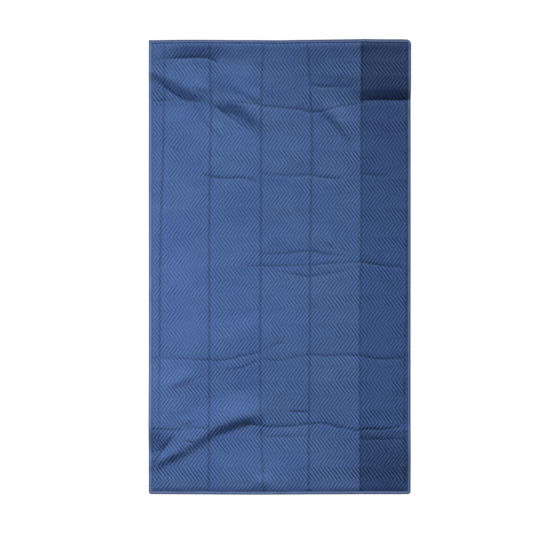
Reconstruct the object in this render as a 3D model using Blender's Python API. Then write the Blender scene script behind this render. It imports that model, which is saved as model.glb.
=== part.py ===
"""Padded moving blanket, laid out flat, with zigzag quilting, storage creases and a bound edge.

The blanket lies on the XY plane, its length along Y and its width along X. The origin is
at the middle of its footprint, on the floor. The sizes below are in millimetres.
"""

import math
from collections import namedtuple

import bmesh
import bpy
import numpy as np
from mathutils.geometry import delaunay_2d_cdt

MM = 0.001

# Outline
LENGTH = 1800.0
WIDTH = 1038.0
Corner = namedtuple("Corner", "side_x side_y radius")
CORNERS = (
    Corner(1, 1, 20.0),
    Corner(-1, 1, 3.0),
    Corner(-1, -1, 10.0),
    Corner(1, -1, 12.0),
)
CORNER_STEPS = 4
LEAST_RADIUS = 0.4
STATION_STEP = 70.0

# Meshing
CDT_INSIDE = 1
CDT_MERGE = 1e-3
WELD = 2e-5

# Binding tape, folded over the squeezed edge of the cloth
TAPE_WIDTH = 12.0
TAPE_THICKNESS = 0.8
GAP = 0.3
EDGE_THICKNESS = 2.2
TAPE_ROLL = 1.0
TAPE_SEAM = 9.4
TAPE_SEAM_HALF = 0.9
TAPE_SEAM_DEPTH = 0.35
BODY_INSET = TAPE_THICKNESS + GAP
EDGE_BOTTOM = TAPE_THICKNESS + GAP
EDGE_TOP = EDGE_BOTTOM + EDGE_THICKNESS
TAPE_TOP = EDGE_TOP + GAP + TAPE_THICKNESS
SEAM_INSET = TAPE_WIDTH + 0.4
FLOOR_INSET = TAPE_WIDTH + 2.0
LEVEL_INSET = max(corner.radius for corner in CORNERS) + 1.0
FULL_INSET = TAPE_WIDTH + 8.0

# Quilting: zigzag stitch lines side by side along the length
LINE_PITCH = 14.87
ZIGZAG_TRAVEL = 42.5
HALF_PERIOD = 56.91
ZIGZAG_START = 292.1
STITCH_THICKNESS = 4.0
PUFF = 2.0

# The quilted rows aren't quite straight: they lie this much further up the blanket along its top
# edge, and further down beside its left edge.
Drift = namedtuple("Drift", "shift x across y along")
DRIFTS = (
    Drift(11.0, 0.0, 5000.0, 900.0, 310.0),
    Drift(-14.0, -519.0, 300.0, -270.0, 330.0),
)

# Folds: the crest runs along the path of (x, y, height). It falls over "steep" on the right of
# the path and over "gentle" on the left. The cloth bends along the crest where lines is 1 or 2,
# and along the foot of its steep side where lines is 2.
Fold = namedtuple("Fold", "name steep gentle lines path")
FOLDS = (
    Fold("top left roll", 54, 60, 1, (
        (-512, 826, 0), (-450, 858, 8), (-392, 878, 12), (-300, 884, 13), (-240, 884, 9),
        (-180, 884, 5), (-90, 886, 4), (-20, 890, 0))),
    Fold("long pull", 34, 100, 2, (
        (-519, 784, 3), (-478, 764, 9), (-428, 736, 13), (-376, 709, 14), (-340, 695, 12),
        (-300, 680, 7), (-272, 670, 3), (-250, 664, 0))),
    Fold("long pull beyond", 38, 100, 2, (
        (-270, 664, 0), (-240, 657, 6), (-216, 655, 12), (-180, 648, 14), (-150, 634, 14),
        (-120, 610, 12), (-90, 584, 8), (-68, 558, 4), (-50, 530, 0))),
    Fold("swell by the roll", 70, 80, 0, (
        (-300, 735, 0), (-250, 742, 5), (-200, 745, 8), (-150, 740, 7), (-100, 735, 4),
        (-40, 733, 1), (0, 730, 0))),
    Fold("second pull", 18, 45, 0, (
        (-205, 725, 0), (-175, 708, 3), (-135, 690, 4), (-95, 672, 5), (-75, 655, 0))),
    Fold("swell under the pull", 450, 210, 0, (
        (-519, 460, 4), (-400, 430, 9), (-280, 410, 11), (-170, 400, 10), (-90, 395, 8),
        (0, 395, 6), (80, 395, 3), (140, 395, 0))),
    Fold("left swell", 110, 70, 0, (
        (-500, 590, 0), (-440, 580, 4), (-350, 550, 3), (-290, 530, 0))),
    Fold("top right lift", 240, 60, 0, (
        (0, 897, 0), (60, 897, 4), (200, 897, 11), (300, 897, 16), (345, 897, 22),
        (440, 897, 24), (519, 897, 23))),
    Fold("top edge fall", 110, 60, 0, (
        (20, 897, 0), (120, 897, 6), (230, 897, 9), (330, 897, 10), (370, 897, 5),
        (430, 897, 0))),
    Fold("top right ripple", 52, 90, 0, (
        (140, 760, 0), (230, 758, 5), (320, 756, 8), (400, 758, 10), (519, 756, 10))),
    Fold("top right step", 44, 60, 1, (
        (225, 690, 0), (270, 698, 3), (305, 703, 5), (330, 702, 8), (420, 706, 10),
        (519, 704, 10))),
    Fold("right pull", 28, 60, 0, (
        (150, 632, 0), (179, 623, 5), (220, 590, 7), (262, 540, 5), (290, 495, 0))),
    Fold("right panel edge", 195, 150, 0, (
        (316, 860, 3), (316, 620, 7), (316, -620, 7), (316, -860, 3))),
    Fold("middle swell", 300, 120, 0, (
        (-470, -290, 0), (-380, -290, 3), (-250, -290, 4), (-60, -290, 4), (60, -290, 2.5),
        (150, -290, 0))),
    Fold("middle pull", 90, 45, 0, (
        (-285, -330, 0), (-240, -300, 1), (-193, -272, 2), (-94, -226, 2), (-70, -215, 0))),
    Fold("middle dent edge", 40, 45, 0, (
        (-190, -100, 0), (-140, -135, 1.2), (-95, -185, 1.5), (-75, -220, 0))),
    Fold("left dash", 26, 50, 0, (
        (-480, -500, 0), (-429, -467, 3), (-370, -438, 4.5), (-325, -425, 0))),
    Fold("left edge drop", 95, 260, 0, (
        (-519, -636, 17), (-470, -638, 16), (-430, -642, 10), (-395, -650, 3), (-370, -655, 0))),
    Fold("low pull start", 30, 40, 0, (
        (-514, -791, 2), (-480, -772, 6), (-450, -756, 9), (-420, -739, 8), (-395, -723, 4),
        (-370, -707, 0))),
    Fold("low pull", 40, 105, 2, (
        (-440, -757, 0), (-410, -735, 5), (-373, -709, 10), (-330, -683, 12), (-294, -658, 13),
        (-262, -636, 14), (-221, -620, 15), (-178, -603, 15), (-130, -589, 13), (-80, -583, 7),
        (-50, -582, 0))),
    Fold("bottom edge lift", 40, 45, 0, (
        (-125, -845, 0), (-66, -852, 5), (-15, -845, 0))),
    Fold("low left swell", 60, 250, 0, (
        (-470, -888, 0), (-300, -885, 8), (-180, -880, 13), (-60, -885, 13), (80, -888, 10),
        (180, -890, 6), (300, -892, 0))),
    Fold("left rim", 36, 40, 0, (
        (-519, -600, 1.5), (-519, -420, 1.8), (-519, 300, 1.8), (-519, 560, 0))),
    Fold("bottom right droop", 150, 120, 0, (
        (345, -740, 0), (420, -730, 7), (519, -725, 8))),
)

# Storage creases: soft troughs, deepest along the path of (x, y, depth). The cloth bends along
# the path where lines is 1.
Crease = namedtuple("Crease", "name reach lines path")
CREASES = (
    Crease("lengthwise 1", 45, 0, (
        (-457, 881, 1.4), (-463, 430, 1.8), (-473, 70, 1.8), (-476, -330, 1.8), (-480, -881, 1))),
    Crease("lengthwise 2", 55, 0, (
        (-279, 881, 1.4), (-273, 623, 2), (-280, 68, 2.2), (-282, -881, 2))),
    Crease("lengthwise 3", 55, 0, (
        (-66, 881, 1.6), (-74, 623, 2.2), (-78, -330, 2.4), (-65, -881, 1.8))),
    Crease("lengthwise 4", 55, 0, (
        (110, 881, 1.4), (127, 480, 2.2), (119, -130, 2.4), (113, -881, 1.8))),
    Crease("lengthwise 5", 40, 0, (
        (498, 840, 1.2), (503, 266, 1.8), (494, -400, 1.8), (496, -840, 1.4))),
    Crease("cross 1", 25, 0, (
        (-70, 640, 3), (-19, 635, 3), (76, 626, 3), (124, 615, 3), (172, 619, 3), (235, 637, 2),
        (314, 647, 1))),
    Crease("cross 2", 30, 0, (
        (-310, 377, 0), (-281, 361, 3), (-154, 354, 3), (56, 362, 2), (203, 352, 3), (450, 361, 0))),
    Crease("cross 3", 30, 0, (
        (-160, 9, 0), (-82, 5, 2), (175, 14, 2), (322, 20, 3), (394, 8, 3), (480, 0, 3))),
    Crease("cross 3 upper", 30, 0, (
        (-62, 54, 1.5), (5, 54, 2), (116, 64, 2), (175, 54, 2), (280, 42, 0))),
    Crease("cross 4", 30, 0, (
        (-221, -368, 1.5), (-154, -352, 2.5), (-82, -338, 2), (-3, -368, 1.5), (116, -348, 2),
        (175, -352, 2.5), (255, -348, 2), (322, -352, 3), (394, -364, 3), (480, -360, 3))),
    Crease("cross 5", 30, 0, (
        (-62, -630, 1.5), (-19, -633, 3), (70, -628, 3), (112, -622, 3), (180, -620, 3),
        (229, -634, 3), (300, -648, 2), (350, -641, 3), (398, -643, 3), (469, -635, 3))),
)
LOWEST_RELIEF = -2.4

# Underside: on the floor, but hollow under the folds that rise by more than HOLLOW_FROM. Under
# those that rise by more than HOLLOW_LINES_FROM it bends along lines at HOLLOW_SHARE of the fold's
# two widths. Under the lower ones and the widest swells the points of its lattice, UNDERSIDE_STEP
# apart, are close enough.
HOLLOW_FROM = 1.8
HOLLOW_LINES_FROM = 7.5
HOLLOW_SHARE = 0.8
UNDERSIDE_STEP = 200.0

BODY_COLOUR = (0.058, 0.122, 0.314, 1.0)
TAPE_COLOUR = (0.11, 0.17, 0.35, 1.0)


def measure_along(points, path):
    """How far each point is from the path, on which side (left is positive), and the path's height."""
    nearest = np.full(len(points), np.inf)
    side = np.zeros(len(points))
    height = np.zeros(len(points))
    for (ax, ay, a_high), (bx, by, b_high) in zip(path, path[1:]):
        run = np.array((bx - ax, by - ay), float)
        away = points - (ax, ay)
        part = np.clip(away @ run / (run @ run), 0, 1)
        gap = away - part[:, None] * run
        far = np.hypot(gap[:, 0], gap[:, 1])
        near = far < nearest
        nearest[near] = far[near]
        side[near] = (run[0] * gap[:, 1] - run[1] * gap[:, 0])[near]
        height[near] = (a_high + (b_high - a_high) * part)[near]
    return nearest, side, height


def relief(points):
    """Height of the folds and creases over the flat cloth, the same across the whole bound edge."""
    inside = (WIDTH / 2 - LEVEL_INSET, LENGTH / 2 - LEVEL_INSET)
    points = np.clip(points, (-inside[0], -inside[1]), inside)
    total = np.zeros(len(points))
    for fold in FOLDS:
        far, side, height = measure_along(points, fold.path)
        share = np.clip(far / np.where(side > 0, fold.gentle, fold.steep), 0, 1)
        total += height * (1 - share * share * (3 - 2 * share))
    for crease in CREASES:
        far, _, depth = measure_along(points, crease.path)
        total -= depth * np.clip(1 - far / crease.reach, 0, 1)
    return np.maximum(total, LOWEST_RELIEF)


def outline(inset, stations):
    """The bound outline, moved inwards by inset: anticlockwise, with as many points at any inset."""
    half_x = WIDTH / 2 - inset
    half_y = LENGTH / 2 - inset
    across, along = stations
    sides = (
        [(-x, half_y) for x in across],
        [(-half_x, -y) for y in along],
        [(x, -half_y) for x in across],
        [(half_x, y) for y in along],
    )
    points = []
    for quarter, (corner, side) in enumerate(zip(CORNERS, sides)):
        radius = max(corner.radius - inset, LEAST_RADIUS)
        x = corner.side_x * (half_x - radius)
        y = corner.side_y * (half_y - radius)
        for step in range(CORNER_STEPS + 1):
            angle = math.radians(90 * (quarter + step / CORNER_STEPS))
            points.append((x + radius * math.cos(angle), y + radius * math.sin(angle)))
        points += side
    return points


def side_stations():
    """Places along the short and the long sides where the bound edge has a cross-section."""
    spread = []
    for length in (WIDTH, LENGTH):
        half = length / 2 - LEVEL_INSET
        count = round(2 * half / STATION_STEP)
        spread.append(np.linspace(-half, half, count + 1))
    return spread


def edge_lift(points, stations):
    """How far the bound edge is off the floor, straight between its cross-sections."""
    across, along = stations
    to_side = WIDTH / 2 - np.abs(points[:, 0])
    to_end = LENGTH / 2 - np.abs(points[:, 1])
    lift = np.zeros(len(points))
    for sign in (-1, 1):
        ends = np.column_stack([across, np.full(len(across), sign * along[-1])])
        sides = np.column_stack([np.full(len(along), sign * across[-1]), along])
        at_end = (to_end < to_side) & (np.sign(points[:, 1]) == sign)
        at_side = (to_side <= to_end) & (np.sign(points[:, 0]) == sign)
        lift[at_end] = np.interp(points[at_end, 0], across, np.maximum(relief(ends), 0))
        lift[at_side] = np.interp(points[at_side, 1], along, np.maximum(relief(sides), 0))
    return lift


def inset_of(points):
    """How far each point is inside the blanket's outline, with its rounded corners."""
    inset = np.minimum(WIDTH / 2 - np.abs(points[:, 0]), LENGTH / 2 - np.abs(points[:, 1]))
    for corner in CORNERS:
        turned = points * (corner.side_x, corner.side_y)
        beyond = turned - (WIDTH / 2 - corner.radius, LENGTH / 2 - corner.radius)
        rounded = corner.radius - np.hypot(*beyond.T)
        inset = np.where((beyond > 0).all(axis=1), rounded, inset)
    return inset


def row_drift(x, y):
    """How far the quilted rows have drifted up the blanket at this place."""
    total = 0.0
    for drift in DRIFTS:
        beside = (x - drift.x) / drift.across
        ahead = (y - drift.y) / drift.along
        beside = beside * beside
        ahead = ahead * ahead
        total = drift.shift * ((1 + beside * beside) * (1 + ahead * ahead)) ** -1 + total
    return total


def zigzag(y):
    """Sideways place of the stitch lines at this distance along the blanket."""
    turn = (ZIGZAG_START - y) / HALF_PERIOD
    return ZIGZAG_TRAVEL * (np.abs(turn % 2 - 1) - 0.5)


def puff(points):
    """Height of the padding, from 0 at a stitch line to PUFF half way between two."""
    x, y = points.T
    place = (x - zigzag(y - row_drift(x, y))) / LINE_PITCH
    return PUFF * 2 * np.abs(place - np.round(place))


def top_height(points, stations):
    """Height of the upper face, which falls to the squeezed edge at the binding's inner side."""
    inset = inset_of(points)
    edge = EDGE_TOP + edge_lift(points, stations)
    field = STITCH_THICKNESS + puff(points) + relief(points)
    return edge + (field - edge) * np.clip((inset - SEAM_INSET) / (FULL_INSET - SEAM_INSET), 0, 1)


def under_height(points, stations):
    """Height of the underside: raised over the tape, and elsewhere on the floor or hollow."""
    inset = inset_of(points)
    edge = EDGE_BOTTOM + edge_lift(points, stations)
    hollow = np.maximum(relief(points) - HOLLOW_FROM, 0)
    return np.where(inset < FLOOR_INSET - 0.01, edge, hollow)


def inside_box(a, b, inset):
    """The part of the line from a to b that lies inside the outline moved inwards, or None."""
    first, last = 0.0, 1.0
    for axis, half in ((0, WIDTH / 2 - inset), (1, LENGTH / 2 - inset)):
        for sign in (-1, 1):
            room = half - sign * a[axis]
            ahead = sign * (b[axis] - a[axis])
            if ahead > 0:
                last = min(last, room / ahead)
            elif ahead < 0:
                first = max(first, room / ahead)
            elif room < 0:
                return None
    if last - first < 1e-6:
        return None
    run = (b[0] - a[0], b[1] - a[1])
    return [(a[0] + share * run[0], a[1] + share * run[1]) for share in (first, last)]


def beside(path, distance):
    """The path moved to its right by this distance."""
    moved = []
    for index, (x, y, _) in enumerate(path):
        before = path[max(index - 1, 0)]
        after = path[min(index + 1, len(path) - 1)]
        run_x = after[0] - before[0]
        run_y = after[1] - before[1]
        step = distance / math.hypot(run_x, run_y)
        moved.append((x + step * run_y, y - step * run_x))
    return moved


class Plan:
    """Points and lines of one face of the cloth, seen from above, before they get their heights."""

    def __init__(self):
        self.points = []
        self.lines = []

    def add_loop(self, points):
        start = len(self.points)
        self.points += points
        count = len(points)
        self.lines += [(start + i, start + (i + 1) % count) for i in range(count)]

    def add_path(self, path, inset):
        for a, b in zip(path, path[1:]):
            kept = inside_box(a, b, inset)
            if kept:
                self.lines.append((len(self.points), len(self.points) + 1))
                self.points += kept

    def triangles(self, rim_count):
        """The points and triangles of the plan inside its first loop."""
        rim = list(range(rim_count))
        made = delaunay_2d_cdt(self.points, self.lines, [rim], CDT_INSIDE, CDT_MERGE)
        return np.array([tuple(point) for point in made[0]]), made[2]


def stitch_columns():
    """Zigzag lines over the whole field: each stitch line, and the crest half way to the next."""
    count = math.ceil((WIDTH + ZIGZAG_TRAVEL) / LINE_PITCH)
    first = math.ceil((ZIGZAG_START - LENGTH / 2) / HALF_PERIOD) - 1
    last = math.floor((ZIGZAG_START + LENGTH / 2) / HALF_PERIOD) + 1
    rows = ZIGZAG_START - HALF_PERIOD * np.arange(first, last + 1)
    for half_step in range(-count, count + 1):
        x = half_step * LINE_PITCH / 2 + zigzag(rows)
        y = rows + row_drift(x, rows)
        y = rows + row_drift(x, y)
        yield list(zip(x.tolist(), y.tolist()))


def top_plan(rim, seam):
    """The upper face's lines: the two edges of the binding, the quilting and the main folds."""
    plan = Plan()
    plan.add_loop(rim)
    plan.add_loop(seam)
    for column in stitch_columns():
        plan.add_path(column, SEAM_INSET)
    for fold in FOLDS:
        if fold.lines > 0:
            plan.add_path(beside(fold.path, 0), SEAM_INSET)
        if fold.lines > 1:
            plan.add_path(beside(fold.path, fold.steep), SEAM_INSET)
    for crease in CREASES:
        if crease.lines > 0:
            plan.add_path(beside(crease.path, 0), SEAM_INSET)
    return plan


def under_plan(rim, seam, floor):
    """The underside's lines: its edges, the hollows, and a coarse lattice of points between."""
    plan = Plan()
    for loop in (rim, seam, floor):
        plan.add_loop(loop)
    half = np.array((WIDTH / 2, LENGTH / 2)) - FLOOR_INSET - UNDERSIDE_STEP / 3
    counts = np.round(2 * half / UNDERSIDE_STEP).astype(int) + 1
    for x in np.linspace(-half[0], half[0], counts[0]):
        plan.points += [(float(x), float(y)) for y in np.linspace(-half[1], half[1], counts[1])]
    for fold in FOLDS:
        tall = max(height for _, _, height in fold.path) > HOLLOW_LINES_FROM
        if tall and fold.gentle < UNDERSIDE_STEP:
            for distance in (0, fold.steep * HOLLOW_SHARE, -fold.gentle * HOLLOW_SHARE):
                plan.add_path(beside(fold.path, distance), FLOOR_INSET)
    return plan


def add_face(mesh, points, heights, triangles, upside):
    """Adds one face of the cloth to the mesh, turned to look up or down."""
    made = [mesh.verts.new((x * MM, y * MM, z * MM)) for (x, y), z in zip(points, heights)]
    for triangle in triangles:
        corners = [made[i] for i in triangle]
        mesh.faces.new(corners if upside else corners[::-1])


def new_object(name, mesh, collection, colour, roughness):
    """An object for the finished mesh, with its own cloth material."""
    data = bpy.data.meshes.new(name)
    mesh.to_mesh(data)
    mesh.free()
    obj = bpy.data.objects.new(name, data)
    collection.objects.link(obj)
    material = bpy.data.materials.new(name)
    material.use_nodes = True
    shader = material.node_tree.nodes["Principled BSDF"]
    shader.inputs["Base Color"].default_value = colour
    shader.inputs["Roughness"].default_value = roughness
    shader.inputs["Metallic"].default_value = 0.0
    data.materials.append(material)
    return obj


def build_body(collection, stations):
    """The padded cloth: a quilted upper face, a plain underside and the squeezed edge between."""
    rim = outline(BODY_INSET, stations)
    seam = outline(SEAM_INSET, stations)
    floor = outline(FLOOR_INSET, stations)
    mesh = bmesh.new()
    points, triangles = top_plan(rim, seam).triangles(len(rim))
    add_face(mesh, points, top_height(points, stations), triangles, True)
    edges = [edge for edge in mesh.edges if edge.is_boundary]
    wall = bmesh.ops.extrude_edge_only(mesh, edges=edges)["geom"]
    lower = [item for item in wall if isinstance(item, bmesh.types.BMVert)]
    places = np.array([vert.co[:2] for vert in lower]) / MM
    for vert, z in zip(lower, under_height(places, stations)):
        vert.co.z = z * MM
    points, triangles = under_plan(rim, seam, floor).triangles(len(rim))
    add_face(mesh, points, under_height(points, stations), triangles, False)
    bmesh.ops.remove_doubles(mesh, verts=mesh.verts, dist=WELD)
    bmesh.ops.recalc_face_normals(mesh, faces=mesh.faces)
    return new_object("quilted_body", mesh, collection, BODY_COLOUR, 0.85)


def tape_section():
    """Inset and height round the folded tape: from the floor up the outside, and back inside."""
    slope = 1 - math.sqrt(0.5)
    outside = (
        (TAPE_WIDTH, 0.0),
        (TAPE_ROLL, 0.0),
        (TAPE_ROLL * slope, TAPE_ROLL * slope),
        (0.0, TAPE_ROLL),
        (0.0, TAPE_TOP - TAPE_ROLL),
        (TAPE_ROLL * slope, TAPE_TOP - TAPE_ROLL * slope),
        (TAPE_ROLL, TAPE_TOP),
        (TAPE_SEAM - TAPE_SEAM_HALF, TAPE_TOP),
        (TAPE_SEAM, TAPE_TOP - TAPE_SEAM_DEPTH),
        (TAPE_SEAM + TAPE_SEAM_HALF, TAPE_TOP),
        (TAPE_WIDTH, TAPE_TOP),
    )
    inside = (
        (TAPE_WIDTH, EDGE_TOP + GAP),
        (TAPE_THICKNESS, EDGE_TOP + GAP),
        (TAPE_THICKNESS, TAPE_THICKNESS),
        (TAPE_WIDTH, TAPE_THICKNESS),
    )
    return outside + inside


def build_tape(collection, stations):
    """The binding: one tape folded over the edge all round."""
    mesh = bmesh.new()
    rings = []
    for inset, height in tape_section():
        ring = np.array(outline(inset, stations))
        lift = edge_lift(ring, stations)
        places = np.column_stack([ring, height + lift]) * MM
        rings.append([mesh.verts.new(place) for place in places])
    count = len(rings[0])
    for ring, after in zip(rings, rings[1:] + rings[:1]):
        for i in range(count):
            j = (i + 1) % count
            mesh.faces.new((ring[i], ring[j], after[j], after[i]))
    bmesh.ops.recalc_face_normals(mesh, faces=mesh.faces)
    return new_object("edge_binding", mesh, collection, TAPE_COLOUR, 0.7)


def build():
    for obj in list(bpy.data.objects):
        bpy.data.objects.remove(obj)
    collection = bpy.data.collections.new("moving_blanket")
    bpy.context.scene.collection.children.link(collection)
    stations = side_stations()
    build_body(collection, stations)
    build_tape(collection, stations)


build()
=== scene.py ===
"""Padded moving blanket, laid out flat on a pale floor and seen from straight above.

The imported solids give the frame. Each section makes one piece of the blanket, in the order in
which it is put together: the quilted cloth, the tape folded over its edge, and the seam that
holds the tape. Then come the floor, the lights and the camera. Sizes are in millimetres and are
turned into metres with MM where a mesh or an object is made.
"""

import math
from collections import namedtuple

import bmesh
import bpy
import numpy as np
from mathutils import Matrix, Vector
from mathutils.geometry import delaunay_2d_cdt


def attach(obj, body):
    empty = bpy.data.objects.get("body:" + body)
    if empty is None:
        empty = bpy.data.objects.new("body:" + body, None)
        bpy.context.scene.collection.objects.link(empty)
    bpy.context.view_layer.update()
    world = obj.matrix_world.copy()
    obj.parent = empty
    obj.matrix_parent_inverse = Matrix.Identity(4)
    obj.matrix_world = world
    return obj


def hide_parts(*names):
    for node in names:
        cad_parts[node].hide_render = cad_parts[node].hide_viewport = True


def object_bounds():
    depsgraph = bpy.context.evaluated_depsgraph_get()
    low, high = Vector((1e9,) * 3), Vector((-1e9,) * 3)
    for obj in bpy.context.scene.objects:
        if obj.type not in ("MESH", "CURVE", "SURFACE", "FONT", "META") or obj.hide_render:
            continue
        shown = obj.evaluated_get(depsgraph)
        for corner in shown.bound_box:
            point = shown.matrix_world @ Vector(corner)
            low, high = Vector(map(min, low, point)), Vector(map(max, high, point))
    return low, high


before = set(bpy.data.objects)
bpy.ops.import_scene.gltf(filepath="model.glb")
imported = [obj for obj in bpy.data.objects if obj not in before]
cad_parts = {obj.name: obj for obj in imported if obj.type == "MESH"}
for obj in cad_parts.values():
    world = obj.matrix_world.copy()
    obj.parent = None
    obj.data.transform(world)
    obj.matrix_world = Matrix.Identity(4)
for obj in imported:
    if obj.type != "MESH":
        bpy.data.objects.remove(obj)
cad_low, cad_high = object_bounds()


# Quilted cloth: two faces of thin woven polyester with padding between them, sewn together by
# zigzag lines that run the length of the blanket. It was stored folded, so a grid of creases
# stays in it, and where it was pulled straight a few long folds run in from its left edge.
MM = 0.001
WIDTH = (cad_high.x - cad_low.x) / MM
LENGTH = (cad_high.y - cad_low.y) / MM

Corner = namedtuple("Corner", "side_x side_y radius")
CORNERS = (
    Corner(1, 1, 20.0),
    Corner(-1, 1, 3.0),
    Corner(-1, -1, 10.0),
    Corner(1, -1, 12.0),
)
CORNER_STEPS = 8
LEAST_RADIUS = 0.4
STATION_STEP = 7.0
LEVEL_INSET = max(corner.radius for corner in CORNERS) + 1.0

TAPE_WIDTH = 12.0
TAPE_THICKNESS = 0.8
GAP = 0.3
EDGE_THICKNESS = 2.2
BODY_INSET = TAPE_THICKNESS + GAP
EDGE_BOTTOM = TAPE_THICKNESS + GAP
EDGE_TOP = EDGE_BOTTOM + EDGE_THICKNESS
TAPE_TOP = EDGE_TOP + GAP + TAPE_THICKNESS
SEAM_INSET = TAPE_WIDTH + 0.4
FLOOR_INSET = TAPE_WIDTH + 2.0
FULL_INSET = TAPE_WIDTH + 9.0

Quilting = namedtuple("Quilting", "pitch travel half_period start puff fullness")
QUILTING = Quilting(pitch=14.87, travel=42.5, half_period=56.91, start=292.1, puff=2.1, fullness=2.4)
COLUMN_PLACES = (0.0, 0.17, 0.5, 0.83)
# The quilted rows aren't quite straight: they lie this much further up the blanket along its top
# edge, and further down beside its left edge.
Drift = namedtuple("Drift", "shift x across y along")
DRIFTS = (
    Drift(11.0, 0.0, 5000.0, 900.0, 310.0),
    Drift(-14.0, -519.0, 300.0, -270.0, 330.0),
)
ROWS_A_LEG = 6
STITCH_THICKNESS = 4.0

# A fold's crest runs along the path of (x, y, height). It falls over "steep" on the right of the
# path and over "gentle" on the left, and "crisp" says how sharp its crest is, from 0 to 1.
Fold = namedtuple("Fold", "name steep gentle crisp path")
FOLDS = (
    Fold("top left roll", 54, 60, 0.8, (
        (-512, 826, 0), (-450, 858, 8), (-392, 878, 12), (-300, 884, 13), (-240, 884, 9),
        (-180, 884, 5), (-90, 886, 4), (-20, 890, 0))),
    Fold("long pull", 34, 100, 0.6, (
        (-519, 784, 3), (-478, 764, 9), (-428, 736, 13), (-376, 709, 14), (-340, 695, 12),
        (-300, 680, 7), (-272, 670, 3), (-250, 664, 0))),
    Fold("long pull beyond", 38, 100, 0.6, (
        (-270, 664, 0), (-240, 657, 6), (-216, 655, 12), (-180, 648, 14), (-150, 634, 14),
        (-120, 610, 12), (-90, 584, 8), (-68, 558, 4), (-50, 530, 0))),
    Fold("swell by the roll", 70, 80, 0, (
        (-300, 735, 0), (-250, 742, 5), (-200, 745, 8), (-150, 740, 7), (-100, 735, 4),
        (-40, 733, 1), (0, 730, 0))),
    Fold("second pull", 18, 45, 0.3, (
        (-205, 725, 0), (-175, 708, 3), (-135, 690, 4), (-95, 672, 5), (-75, 655, 0))),
    Fold("short pull", 12, 30, 0.3, (
        (-350, 722, 0), (-330, 715, 3), (-300, 705, 4), (-278, 694, 0))),
    Fold("third pull", 14, 40, 0.3, (
        (-360, 655, 0), (-330, 640, 2), (-300, 600, 3), (-280, 572, 3), (-240, 530, 3),
        (-205, 490, 0))),
    Fold("swell under the pull", 450, 210, 0, (
        (-519, 460, 4), (-400, 430, 9), (-280, 410, 11), (-170, 400, 10), (-90, 395, 8),
        (0, 395, 6), (80, 395, 3), (140, 395, 0))),
    Fold("left swell", 110, 70, 0, (
        (-500, 590, 0), (-440, 580, 4), (-350, 550, 3), (-290, 530, 0))),
    Fold("top right lift", 240, 60, 0.6, (
        (0, 897, 0), (60, 897, 4), (200, 897, 11), (300, 897, 16), (345, 897, 22),
        (440, 897, 24), (519, 897, 23))),
    Fold("top edge fall", 110, 60, 0.3, (
        (20, 897, 0), (120, 897, 6), (230, 897, 9), (330, 897, 10), (370, 897, 5),
        (430, 897, 0))),
    Fold("top right ripple", 52, 90, 0.6, (
        (140, 760, 0), (230, 758, 5), (320, 756, 8), (400, 758, 10), (519, 756, 10))),
    Fold("top right step", 44, 60, 0.4, (
        (225, 690, 0), (270, 698, 3), (305, 703, 5), (330, 702, 8), (420, 706, 10),
        (519, 704, 10))),
    Fold("right pull", 28, 60, 0.3, (
        (150, 632, 0), (179, 623, 5), (220, 590, 7), (262, 540, 5), (290, 495, 0))),
    Fold("right panel edge", 195, 150, 1, (
        (316, 860, 3), (316, 620, 7), (316, -620, 7), (316, -860, 3))),
    Fold("middle swell", 300, 120, 0, (
        (-470, -290, 0), (-380, -290, 3), (-250, -290, 4), (-60, -290, 4), (60, -290, 2.5),
        (150, -290, 0))),
    Fold("middle pull", 90, 45, 0, (
        (-285, -330, 0), (-240, -300, 1), (-193, -272, 2), (-94, -226, 2), (-70, -215, 0))),
    Fold("middle dent edge", 40, 45, 0.2, (
        (-190, -100, 0), (-140, -135, 1.2), (-95, -185, 1.5), (-75, -220, 0))),
    Fold("left dash", 26, 50, 0.3, (
        (-480, -500, 0), (-429, -467, 3), (-370, -438, 4.5), (-325, -425, 0))),
    Fold("low dash", 14, 30, 0.2, (
        (-410, -626, 0), (-380, -614, 3), (-350, -602, 3), (-325, -592, 0))),
    Fold("left edge drop", 95, 260, 0.6, (
        (-519, -636, 17), (-470, -638, 16), (-430, -642, 10), (-395, -650, 3), (-370, -655, 0))),
    Fold("low pull start", 30, 40, 0.5, (
        (-514, -791, 2), (-480, -772, 6), (-450, -756, 9), (-420, -739, 8), (-395, -723, 4),
        (-370, -707, 0))),
    Fold("low pull", 40, 105, 0.5, (
        (-440, -757, 0), (-410, -735, 5), (-373, -709, 10), (-330, -683, 12), (-294, -658, 13),
        (-262, -636, 14), (-221, -620, 15), (-178, -603, 15), (-130, -589, 13), (-80, -583, 7),
        (-50, -582, 0))),
    Fold("bottom edge lift", 40, 45, 0, (
        (-125, -845, 0), (-66, -852, 5), (-15, -845, 0))),
    Fold("low left swell", 60, 250, 0, (
        (-470, -888, 0), (-300, -885, 8), (-180, -880, 13), (-60, -885, 13), (80, -888, 10),
        (180, -890, 6), (300, -892, 0))),
    Fold("left rim", 36, 40, 0, (
        (-519, -600, 1.5), (-519, -420, 1.8), (-519, 300, 1.8), (-519, 560, 0))),
    Fold("right rim", 17, 120, 0, (
        (484, -870, 3), (485, -360, 5), (495, 266, 5), (490, 640, 5), (486, 860, 3))),
    Fold("bottom right droop", 150, 120, 0.3, (
        (345, -740, 0), (420, -730, 7), (519, -725, 8))),
)

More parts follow.
